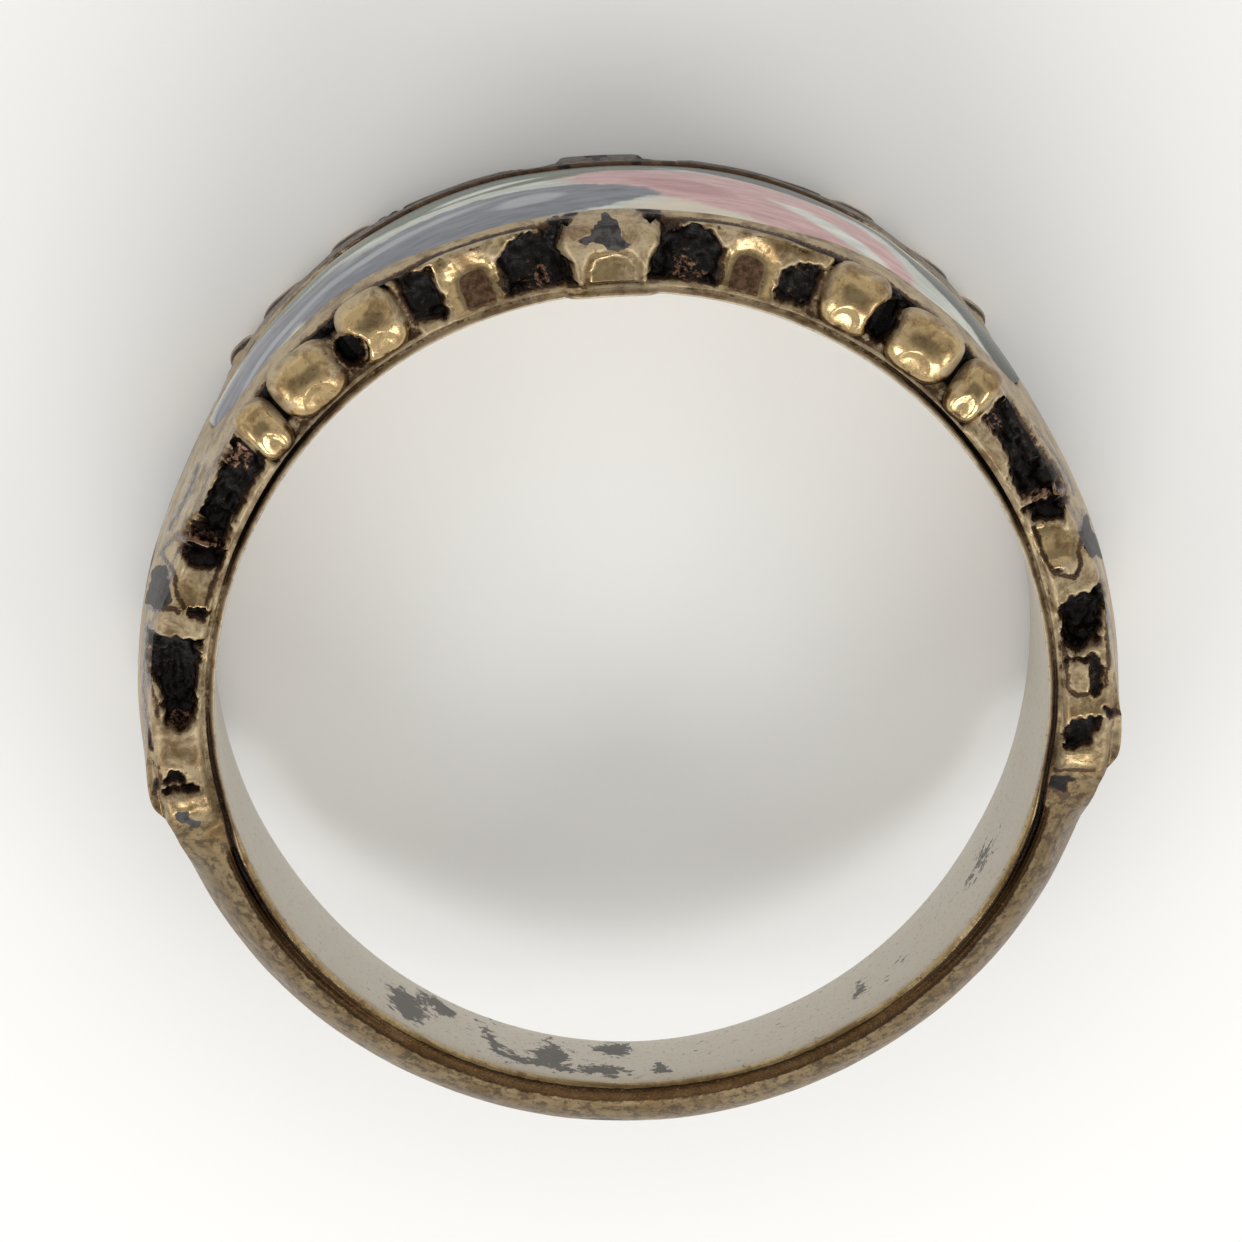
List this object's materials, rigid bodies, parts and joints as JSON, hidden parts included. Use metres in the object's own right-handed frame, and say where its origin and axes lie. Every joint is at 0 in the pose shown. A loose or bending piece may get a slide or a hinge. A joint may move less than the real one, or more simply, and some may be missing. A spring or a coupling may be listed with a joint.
{
  "type": "enamel ring",
  "caption": "Antique gilt finger ring: scalloped relief crown with a domed painted enamel panel, relief shoulders and a plain D-section shank.",
  "frame": {"origin": "middle of the ring's box on the surface it lies on", "axes": "+Z along the finger, upwards from the surface the ring lies on; the enamel crown faces -Y and the back of the shank +Y"},
  "size_m": [0.021, 0.0208, 0.0072],
  "materials": {
    "gilt_brass": "worn antique gilt, polished on the high relief, with dark brown to black patina in the recesses and dull beige-grey wear",
    "enamel": "glossy painted enamel in blue-grey, pink, sage green and off-white that meet with no metal walls"
  },
  "bodies": {
    "root": {"band": "gilt_brass", "enamel": "enamel"}
  },
  "joints": []
}
